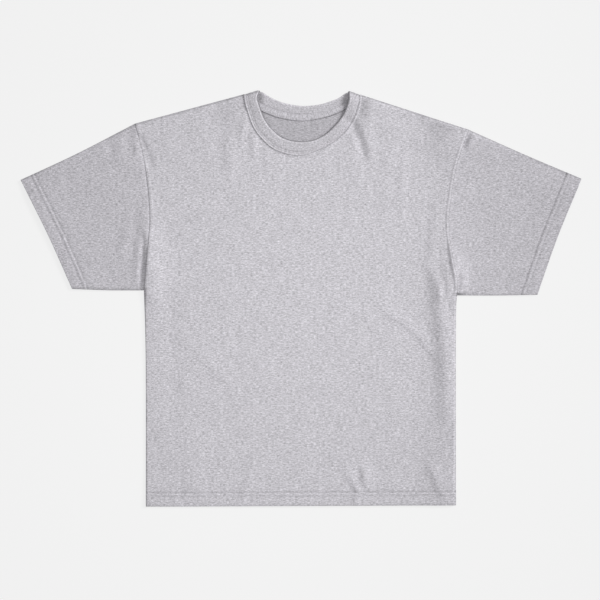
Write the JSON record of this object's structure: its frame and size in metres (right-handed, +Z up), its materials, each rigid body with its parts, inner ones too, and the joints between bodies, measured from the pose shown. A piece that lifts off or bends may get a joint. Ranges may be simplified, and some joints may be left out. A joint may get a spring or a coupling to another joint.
{
  "type": "crew neck t-shirt",
  "caption": "Boxy crew neck t-shirt in heather grey jersey with dropped short sleeves, laid flat with its front up.",
  "frame": {"origin": "on the surface the shirt lies on, under the middle of its box", "axes": "+X across the body towards the sleeve on the right of the picture, +Y from the hem to the neck, +Z up, out of the front"},
  "size_m": [1.0098, 0.7501, 0.0071],
  "materials": {
    "jersey": "matte heather grey single jersey",
    "rib_knit": "matte heather grey fine rib",
    "tape_jersey": "matte heather grey jersey tape"
  },
  "bodies": {
    "root": {"back_panel": "jersey", "front_panel": "jersey", "sleeve_left": "jersey", "sleeve_right": "jersey", "neck_rib": "rib_knit", "neck_tape": "tape_jersey"}
  },
  "joints": []
}
